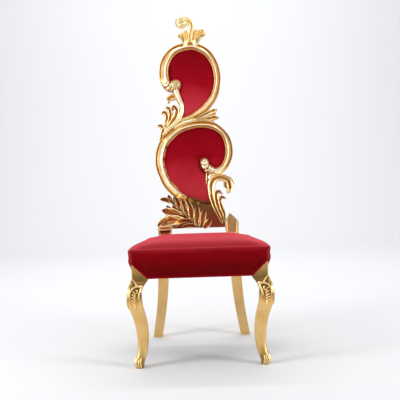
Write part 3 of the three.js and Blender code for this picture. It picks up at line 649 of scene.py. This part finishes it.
def seat_plan(inset, corner_points=9, side_points=14):
    """Half plan of the seat from the middle of the front to the middle of the rear, set in by a distance:
    straight front and rear, round corners, and a side that bows out as a half sine of the depth."""
    inset = np.atleast_1d(inset)[:, None]
    turn = math.atan(side_slope)
    pieces = []
    corners = [(0, -math.pi / 2, turn, front_radius), (1, turn, math.pi / 2, rear_radius)]
    for rear, start, end, radius in corners:
        reach = inset + radius
        y = seat_depth - reach if rear else reach
        x = seat_front_width / 2 - y * side_slope - reach * math.hypot(1, side_slope)
        angle = np.linspace(start, end, corner_points)[None]
        pieces.append(np.stack([x + radius * np.cos(angle), y + radius * np.sin(angle)], -1))
    front, rear = pieces
    share = np.linspace(0, 1, side_points + 2)[None, 1:-1, None]
    side = front[:, -1:] * (1 - share) + rear[:, :1] * share
    half_share = np.linspace(0, 1, 10)[None, :, None]
    middle_front = front[:, :1] * np.array([0, 1])
    middle_rear = rear[:, -1:] * np.array([0, 1])
    lead = middle_front * (1 - half_share[:, :-1]) + front[:, :1] * half_share[:, :-1]
    trail = rear[:, -1:] + (middle_rear - rear[:, -1:]) * half_share[:, 1:]
    half = np.concatenate([lead, front, side, rear, trail], 1)
    return np.stack([half[..., 0] * side_bow_at(half[..., 1]), half[..., 1]], -1)


def seat_rings(inset, height):
    """Closed rings of the seat in the scene's frame: the half plan and its mirror image."""
    half = seat_plan(inset)
    other_half = half[:, -2:0:-1] * np.array([-1, 1])
    ring = np.concatenate([half, other_half], 1)
    z = np.broadcast_to(np.atleast_1d(height)[:, None], ring.shape[:2])
    return np.stack([ring[..., 0], ring[..., 1] + seat_front, z], -1)


def seat_shell():
    """The seat as rings: up its bulging edge, over the crease, and in across the crown. The crown drops
    towards its rear corners, and the edge is tucked in under the plane of the ears."""
    edge_share, edge = spline([
        (0, edge_inset), (0.22, 0.009), (0.45, 0.001), (0.66, -0.002), (0.85, -0.001), (0.945, 0.0045),
        (0.99, 0.0145), (1.0, crease_inset),
    ], 4).T
    crown_share = np.linspace(0, 1, 14)[1:]
    inset = np.concatenate([edge, crease_inset + (crown_inset - crease_inset) * crown_share])
    crown_height = seat_level + seat_crown * (1 - (1 - crown_share) ** 2.6)
    height = np.concatenate([seat_bottom + edge_share * seat_edge_height, crown_height])
    points = seat_rings(inset, height)
    x, y, z = np.abs(points[..., 0]), points[..., 1] - seat_front, points[..., 2]
    top = smooth_step(seat_level - 0.025, seat_level, z)
    corner = (2 * x / seat_front_width) ** 3 * smooth_step(0.2, 0.95, y / seat_depth)
    points[..., 2] -= rear_drop * top * corner
    along = (x - block_outer) * ear_normal[0] + (y - edge_inset) * ear_normal[1]
    below = (along + (z - ear_tip[2]) * ear_normal[2]) / np.linalg.norm(ear_normal)
    tuck = (edge_inset + 0.001) * smooth_step(-0.034, -0.005, below)
    side = (seat_front_width / 2 - y * side_slope) * side_bow_at(np.clip(y, 0, seat_depth))
    points[..., 0] = np.sign(points[..., 0]) * np.minimum(x, side - tuck)
    points[..., 1] = seat_front + np.maximum(y, tuck)
    return tube(points, 0.5)


def cut_away(piece, point, normal):
    """Cuts off what lies beyond a plane and closes the cut."""
    work = bmesh.new()
    work.from_mesh(piece.data)
    geometry = work.verts[:] + work.edges[:] + work.faces[:]
    cut = bmesh.ops.bisect_plane(work, geom=geometry, plane_co=point, plane_no=normal, clear_outer=True)
    edges = [part for part in cut["geom_cut"] if isinstance(part, bmesh.types.BMEdge)]
    bmesh.ops.contextual_create(work, geom=edges)
    work.to_mesh(piece.data)
    work.free()


def held_by_seams(points):
    """Where the crease, the tacks of the lower edge and the seams over the ears hold the velvet: 1 at each,
    falling away as bell curves."""
    x, y, z = np.abs(points[:, 0]), points[:, 1], points[:, 2]
    off_ear = (np.stack([x, y, z], -1) - ear_tip) @ ear_normal / np.linalg.norm(ear_normal)
    away = np.stack([(z - seat_level) / 0.009, (z - seat_bottom) / 0.012, off_ear / 0.012])
    return np.exp(-away**2).max(0)


# Painted light and shade: the seat is darker down its front edge and lighter towards its top.
seat_velvet = velvet("seat_velvet", 0.43, 0.53, [
    (0.0, (0.13, 0.0, 0.001)), (0.60, (0.19, 0.0, 0.003)), (0.80, (0.245, 0.007, 0.012)),
])
seat = mesh_piece("velvet_seat", [seat_shell()], seat_velvet)
inflate(seat, voxel=0.005, pressure=3.0, cap=0.003, held=held_by_seams)
for side in (1, -1):
    cut_away(seat, ear_tip * (side, 1, 1), ear_normal * (side, 1, 1))
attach(seat, "root")
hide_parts("seat_cushion")

# Piping: a cord covered in the same velvet, sewn along the lower edge of the cover and up over the
# bare corners of the front legs. It ends at the posts.
piping_radius = 0.004
post_spread = 0.328
post_width = 0.060


def piping_route():
    """Right half of the piping's way, from the middle of the front to the post, as a line of corners."""
    behind_ear = edge_inset + block_size
    bottom = seat_plan(edge_inset)[0]
    post_side = post_spread / 2 + post_width / 2 + 2 * piping_radius
    kept = bottom[(bottom[:, 1] > behind_ear + 0.03) & (bottom[:, 0] > post_side + piping_radius)]
    corner = (block_outer - behind_ear * side_slope) * side_bow_at(behind_ear)
    inner = block_outer - block_size
    climb = np.linspace(0, 1, 7)[:, None]
    foot = np.array([inner, edge_inset, seat_bottom])
    tip = np.array([block_outer, edge_inset, seat_bottom + ear_height])
    rear = np.array([corner, behind_ear, seat_bottom])
    side = np.column_stack([kept, np.full(len(kept), seat_bottom)])
    end = np.array([[post_side, seat_depth - edge_inset, seat_bottom]])
    front = np.array([[0, edge_inset, seat_bottom], [inner * 0.9, edge_inset, seat_bottom]])
    return np.concatenate([front, foot + (tip - foot) * climb, tip + (rear - tip) * climb[1:], side, end])


def round_tube(route, radius, sides=12):
    """Circle carried along a line of points, square to the way between a point's neighbours."""
    way = np.gradient(route, axis=0)
    way /= np.linalg.norm(way, axis=1, keepdims=True)
    out = np.stack([way[:, 1], -way[:, 0], np.zeros(len(way))], -1)
    out /= np.maximum(np.linalg.norm(out, axis=1, keepdims=True), 1e-9)
    up = np.cross(way, out)
    angle = np.linspace(0, 2 * math.pi, sides, endpoint=False)[None, :, None]
    ring = route[:, None] + radius * (np.cos(angle) * out[:, None] + np.sin(angle) * up[:, None])
    return tube(ring, 0.5)


half_route = piping_route()
whole_route = np.concatenate([half_route[:0:-1] * (-1, 1, 1), half_route])
whole_route[:, 1] += seat_front
# Painted light: the cord is lighter than the seat's edge it lies on, and lighter where it climbs higher.
cord_velvet = velvet("cord_velvet", 0.38, 0.46, [(0, (0.20, 0.0, 0.004)), (1, (0.27, 0.002, 0.009))])
piping = mesh_piece("seat_piping_cord", [round_tube(spline(whole_route, 3), piping_radius)], cord_velvet)
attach(piping, "root")
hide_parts("seat_piping")

# Front legs: cabriole legs sawn and carved from one square block each, with a scrolled leaf on the
# knee and a petalled toe, in a satin gold paint that is rubbed in places. Each block is glued into a
# front corner of the seat's frame.
seat_clearance = 0.0003
leg_height = seat_bottom - seat_clearance
knee_relief = 0.0095
toe_relief = 0.0058
leg_stations = [
    (0, -0.005, 0.033), (0.035, 0, 0.039), (0.075, 0.001, 0.043), (0.12, -0.005, 0.044),
    (0.17, -0.0105, 0.0445), (0.235, -0.013, 0.046), (0.315, -0.012, 0.050), (0.42, -0.008, 0.0535),
    (0.535, 0, 0.057), (0.63, 0.012, 0.061), (0.705, 0.019, 0.062), (0.785, 0.020, 0.0605),
    (0.86, 0.016, 0.057), (0.93, 0.007, 0.062), (0.975, 0, 0.068), (1, 0, 0.068),
]


def satin_gold():
    """Satin gold paint on wood: even ochre gold, with painted shade in the recesses and painted highlights on
    the carved crests, and rubbed patches.
    """
    paint = NodeMaterial("satin_gold")
    cloud = paint.texture("Noise", Scale=18.0, Detail=5.0, Roughness=0.6)
    grain = paint.texture("Noise", Scale=120.0, Detail=5.0, Roughness=0.6)
    # Painted light and shade from the kept shade value, with rubbed patches from the cloud.
    paint.coloured(paint.weighted(cloud, 0.30, paint.relief_shade()), [
        (0.16, (0.15, 0.085, 0.022)), (0.42, (0.46, 0.27, 0.08)), (0.64, (0.74, 0.44, 0.15)),
        (0.95, (0.98, 0.75, 0.36)),
    ])
    paint.join(paint.mapped(cloud, (0, 1), (0.24, 0.46)), paint.shader["Roughness"])
    paint.bumped(grain, 0.18, 0.0010)
    return paint.finished({"Metallic": 0.95})


share_line, outer_line, width_line = spline(leg_stations, 9).T


def squareness_at(share):
    """Power of the rounded square: 3 along the leg, rising to 14 at the block."""
    return 3.0 + 11 * smooth_step(0.90, 0.97, share)


def front_leg():
    """Right front leg as rings up its height: a rounded square whose outer front corner follows the drawn
    edge, squarer at the block; above the cover's edge the rings are cut by the slanting plane of the ear."""
    columns = 96
    ear_rows = np.linspace(0, 1, 9)[1:]
    share = np.concatenate([share_line, 1 + ear_rows * ear_height / leg_height])
    outer = np.concatenate([outer_line, np.zeros(len(ear_rows))])
    width = np.concatenate([width_line, np.full(len(ear_rows), block_size)])
    squareness = squareness_at(share)[:, None]
    angle = np.linspace(0, 2 * math.pi, columns, endpoint=False)[None]
    reach_x = np.sign(np.cos(angle)) * np.abs(np.cos(angle)) ** (2 / squareness)
    reach_y = np.sign(np.sin(angle)) * np.abs(np.sin(angle)) ** (2 / squareness)
    half = (width / 2)[:, None]
    centre_x = (block_outer + outer)[:, None] - half
    centre_y = (seat_front + edge_inset - outer)[:, None] + half
    x = centre_x + reach_x * half
    y = centre_y + reach_y * half
    z = np.broadcast_to(share[:, None] * leg_height, x.shape).copy()
    closing = np.linspace(1, 0, 8)[1:, None]
    x = np.concatenate([x, centre_x[-1] + (x[-1:] - centre_x[-1]) * closing])
    y = np.concatenate([y, centre_y[-1] + (y[-1:] - centre_y[-1]) * closing])
    z = np.concatenate([z, np.repeat(z[-1:], len(closing), 0)])
    plane = ear_tip[2] + ear_height / block_size * ((x - ear_tip[0]) - (y - ear_tip[1]))
    z = np.where(z > leg_height, np.clip(plane, leg_height, z), z)
    # Painted shade: the knee and the toe are darker, so their carved lines stand out light on a dark ground.
    knee = smooth_step(0.265, 0.325, z) * (1 - 0.55 * smooth_step(0.385, 0.425, z))
    toe = 1 - smooth_step(0.035, 0.055, z)
    shade = 0.57 - 0.45 * np.maximum(knee, 0.8 * toe)
    points = np.stack([x, y, z], -1)
    faces = tube_faces(*points.shape[:2])
    faces.append(list(range(columns)))
    return points.reshape(-1, 3), faces, shade.reshape(-1)


def leg_at(height):
    """At a height in centimetres: the share of the leg's height, its outer edge, its half width, and the
    middle of the leg across and in depth."""
    share = np.asarray(height) / 100 / leg_height
    outer = np.interp(share, share_line, outer_line)
    half = np.interp(share, share_line, width_line) / 2
    edge = block_outer + outer
    return share, edge, half, edge - half, seat_front + edge_inset - outer + half


def on_front_face(inward, height, lift):
    """Places on the front face of the right front leg: centimetres in from its outer edge, centimetres
    above the floor, and the lift in metres off a surface sunk a little below the rounded one."""
    share, edge, half, centre_x, centre_y = leg_at(height)
    x = edge - np.asarray(inward) / 100
    power = squareness_at(share)
    bulge = np.clip(1 - np.abs((x - centre_x) / half) ** power, 0, 1) ** (1 / power)
    sunk = 0.003
    return np.stack([x, centre_y - half * bulge - lift + sunk, share * leg_height], -1)


def on_side_face(inward, height, lift):
    """The same place on the outer side face: the front face turned over the leg's diagonal."""
    points = on_front_face(inward, height, lift)
    centre_x, centre_y = leg_at(height)[3:]
    x = centre_x - (points[..., 1] - centre_y)
    y = centre_y - (points[..., 0] - centre_x)
    return np.stack([x, y, points[..., 2]], -1)


# Carved lines of a knee and a toe, in centimetres in from the outer edge and above the floor
knee_lines = [
    [(0.2, 38.6, 0.5, 0.8), (1.4, 37.5, 0.6), (2.9, 36.0, 0.8, 0.8)],
    [(1.0, 31.0, 0.6, 0.6), (0.8, 33.2, 0.9), (1.6, 35.0, 1.0), (3.1, 35.7, 1.1), (4.8, 35.6, 1.5),
     (5.3, 34.1, 1.3), (4.8, 32.4, 1.0), (4.6, 30.4, 0.6, 0.6)],
    [(3.0, 34.2, 0.5, 0.6), (3.7, 34.1, 0.6), (4.0, 33.3, 0.6), (3.6, 32.7, 0.5, 0.7)],
    [(2.9, 27.6, 0.8), (3.1, 26.5, 0.7), (2.7, 25.4, 0.4, 0.8)],
]
for row in range(5):
    level = 33.6 - 1.2 * row
    knee_lines.append([(1.8, level, 0.4, 0.7), (2.5, level - 0.2, 0.62), (3.2, level - 0.9, 0.62),
                       (3.4, level - 1.8, 0.35, 0.7)])
toe_lines = [
    [(inward, 0.25, 0.7, 0.8), (inward, 1.5, 0.78), (inward, 3.0, 0.7), (inward * 0.96, 4.4, 0.35, 0.7)]
    for inward in (0.7, 1.6, 2.5)
]
knee_profile = profile([
    (-0.5, 0), (-0.5, 0.30), (-0.44, 0.62), (-0.28, 0.93), (-0.05, 1.0), (0.15, 0.86), (0.32, 0.62),
    (0.45, 0.42), (0.5, 0.2), (0.5, 0),
], 2)


def carved_leg():
    """Shells of the right front leg with the leaf of its knee and the petals of its toe on both faces."""
    shells = [front_leg()]
    for place in (on_front_face, on_side_face):
        for drawn in knee_lines:
            shells.append(carved_band(drawn, knee_profile, knee_relief, place=place))
        for drawn in toe_lines:
            shells.append(carved_band(drawn, knee_profile, toe_relief, place=place))
    return shells


def mirrored(shell):
    """The same shell on the other side of the throne."""
    points, faces, relief_shade = shell
    return points * (-1, 1, 1), faces, relief_shade


painted_gold = satin_gold()
right_leg = carved_leg()
left_leg = [mirrored(shell) for shell in right_leg]
for side, shells in [("right", right_leg), ("left", left_leg)]:
    leg = mesh_piece("carved_leg_" + side, shells, painted_gold)
    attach(leg, "root")
    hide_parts("front_leg_" + side)

# Rear legs: each one gilded board from the floor up past the seat, whose frame is fixed between them,
# splayed and raked below it. The right post ends in a carved point beside the scroll; the left one ends
# behind the leaves, cut back for them.
post_thickness = 0.040
foot_spread = 0.436
foot_width = 0.046
rear_rake = 0.042
splay = [(0, 1), (0.14, 0.77), (0.28, 0.56), (0.42, 0.40), (0.6, 0.28), (0.77, 0.20), (1, 0)]
# Rise, width and lean towards the middle of the carved point, as shares of its height and of a post
point_shape = [(0, 1, 0), (0.5, 1.13, 0), (0.7, 0.94, 0.017), (0.86, 0.5, 0.067), (1, 0.06, 0.133)]


def rear_leg(top_height, lap_from, lap, face_tone):
    """Rear leg as rings of a board with eased edges, first up the splayed part and then up the leaning
    post to its point; above lap_from its front is cut back by the lap. Above the seat the face is dished
    inside a raised lip."""
    share, spread = spline(splay, 8).T
    x = post_spread / 2 + (foot_spread - post_spread) / 2 * spread
    y = back_foot_y + rear_rake * spread
    z = share * back_foot_z
    width = foot_width + (post_width - foot_width) * share**1.6
    rise, wide, inward = spline(point_shape, 8)[1:].T
    rise = rise * top_height
    x = np.concatenate([x, post_spread / 2 - inward * post_width])
    y = np.concatenate([y, back_foot_y + rise * math.tan(back_lean)])
    z = np.concatenate([z, back_foot_z + rise])
    width = np.concatenate([width, post_width * wide])
    above = np.concatenate([np.zeros(len(share)), rise])
    across = np.array([-0.5, -0.47, -0.42, -0.37, -0.33, -0.1, 0.1, 0.33, 0.37, 0.42, 0.47, 0.5,
                       0.5, 0.47, -0.47, -0.5])
    ease = np.array([0.003, 0, 0, 0, 0, 0, 0, 0, 0, 0, 0, 0.003, -0.003, 0, 0, -0.003])
    depth = np.array([-0.5] * 12 + [0.5] * 4)
    front = depth < 0
    lip = front & (np.abs(across) > 0.35)
    grid_x = x[:, None] + across * width[:, None]
    grid_y = y[:, None] + depth * post_thickness + ease
    cut = (above > lap_from)[:, None] & front
    grid_y = np.where(cut, grid_y + lap, grid_y)
    above_seat = smooth_step(0.0, 0.012, above)[:, None]
    carved = smooth_step(0.35, 0.6, above / top_height)[:, None]
    grid_y = grid_y + 0.004 * above_seat * (front & ~lip)
    points = np.stack([grid_x, grid_y, np.broadcast_to(z[:, None], grid_x.shape)], -1)
    # An even tone below the seat; above it the dished face takes a darker tone, darker still on the left
    # post, and the raised lip a painted highlight that brightens towards the point.
    relief_shade = 0.60 + (face_tone - 0.60) * above_seat + (0.32 + 0.48 * carved) * above_seat * lip
    return tube(points, relief_shade)


right_post = rear_leg(top_height=0.103, lap_from=1.0, lap=0, face_tone=0.49)
left_post = mirrored(rear_leg(top_height=0.074, lap_from=0.024, lap=0.020, face_tone=0.28))
for side, shell in [("right", right_post), ("left", left_post)]:
    leg = mesh_piece("post_leg_" + side, [shell], leafed_gold, crease=35)
    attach(leg, "root")
    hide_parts("rear_leg_" + side)

# Dust cover: thin black lining cloth that keeps dust out of the padding. It is stretched between the
# legs and tacked to the underside of the seat's frame.


def lining_cloth():
    """Thin black woven lining: fine threads, quite matt."""
    cloth = NodeMaterial("lining_cloth")
    threads = cloth.texture("Wave", Scale=420.0, Distortion=0.6)
    cloth.coloured(threads, [(0.2, (0.010, 0.009, 0.009)), (0.8, (0.026, 0.024, 0.024))])
    cloth.bumped(threads, 0.3, 0.0005)
    return cloth.finished({"Roughness": 0.95})


dust_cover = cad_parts["dust_cover"]
dust_cover.data.materials.clear()
dust_cover.data.materials.append(lining_cloth())

# The studio: a white floor that sweeps up into a backdrop, and soft lights from above and the sides.


def studio_sweep():
    """Floor that curves up into a backdrop: a straight run, a quarter circle, and an upright."""
    radius, rear, height, half_width, front = 2.2, 3.4, 5.0, 7.0, -7.0
    turn = np.linspace(0, math.pi / 2, 24)
    y = np.concatenate([[front], rear + radius * np.sin(turn), [rear + radius]])
    z = np.concatenate([[0], radius - radius * np.cos(turn), [height]])
    x = np.array([-half_width, half_width])
    points = np.stack(np.broadcast_arrays(x[None, :], y[:, None], z[:, None]), -1).reshape(-1, 3)
    start = np.arange(len(y) - 1) * 2
    faces = np.stack([start, start + 1, start + 3, start + 2], -1).tolist()
    mesh = bpy.data.meshes.new("studio_sweep")
    mesh.from_pydata(points, [], faces)
    mesh.polygons.foreach_set("use_smooth", np.ones(len(faces), bool))
    sweep = bpy.data.objects.new("studio_sweep", mesh)
    bpy.context.scene.collection.objects.link(sweep)
    paper = {"Base Color": (0.76, 0.765, 0.775, 1), "Roughness": 0.9, "Specular IOR Level": 0.1}
    mesh.materials.append(NodeMaterial("studio_paper").finished(paper))
    return sweep


studio_sweep()


def soft_light(name, place, aim, size, power):
    """Rectangular soft light at a place, turned towards a point."""
    data = bpy.data.lights.new(name, "AREA")
    data.shape = "RECTANGLE"
    data.size, data.size_y = size
    data.energy = power
    light = bpy.data.objects.new(name, data)
    way = np.array(aim, float) - np.array(place, float)
    flat = math.hypot(way[0], way[1])
    light.rotation_euler = (math.atan2(flat, -way[2]), 0, math.atan2(-way[0], way[1]))
    light.location = place
    bpy.context.scene.collection.objects.link(light)


soft_light("overhead", (0.0, -0.2, 3.5), (0, -0.3, 0.4), (3.8, 3.4), 31)
soft_light("left_key", (-3.2, -1.5, 1.8), (0, 0, 0.8), (1.2, 2.7), 86)
soft_light("right_fill", (3.2, -1.8, 1.6), (0, 0, 0.8), (1.1, 2.7), 76)
soft_light("front_top", (-0.4, -3.2, 3.2), (0, 0, 0.8), (1.0, 0.7), 12)
soft_light("backdrop_wash", (0, 1.6, 4.2), (0, 5.0, 1.2), (4.0, 1.0), 141)

world = bpy.data.worlds.new("studio_air")
world.use_nodes = True
world.node_tree.nodes["Background"].inputs["Color"].default_value = (0.95, 0.97, 1.0, 1)
world.node_tree.nodes["Background"].inputs["Strength"].default_value = 0.43
bpy.context.scene.world = world
bpy.context.scene.view_settings.view_transform = "Standard"

# The camera: a little above the middle of the throne, about three metres in front of it, tipped down.
focal_pixels = 738.0
image_width = 400
sensor_width = 36.0
pitch, roll, yaw = math.radians(3.767), math.radians(1.8), math.radians(0.19)
eye = (0.0, seat_front + 0.030 - 3.10, 0.916)
right = np.array([math.cos(yaw), -math.sin(yaw), 0.0])
ahead = np.array([math.sin(yaw), math.cos(yaw), 0.0])
down = np.array([0.0, 0.0, -1.0])
forward = ahead * math.cos(pitch) + down * math.sin(pitch)
up = ahead * math.sin(pitch) - down * math.cos(pitch)
rolled_right = right * math.cos(roll) - up * math.sin(roll)
rolled_up = right * math.sin(roll) + up * math.cos(roll)
camera_data = bpy.data.cameras.new("camera")
camera_data.sensor_width = sensor_width
camera_data.lens = focal_pixels / image_width * sensor_width
camera = bpy.data.objects.new("camera", camera_data)
turned = Matrix((rolled_right, rolled_up, -forward)).transposed().to_4x4()
turned.translation = eye
camera.matrix_world = turned
bpy.context.scene.collection.objects.link(camera)
bpy.context.scene.camera = camera
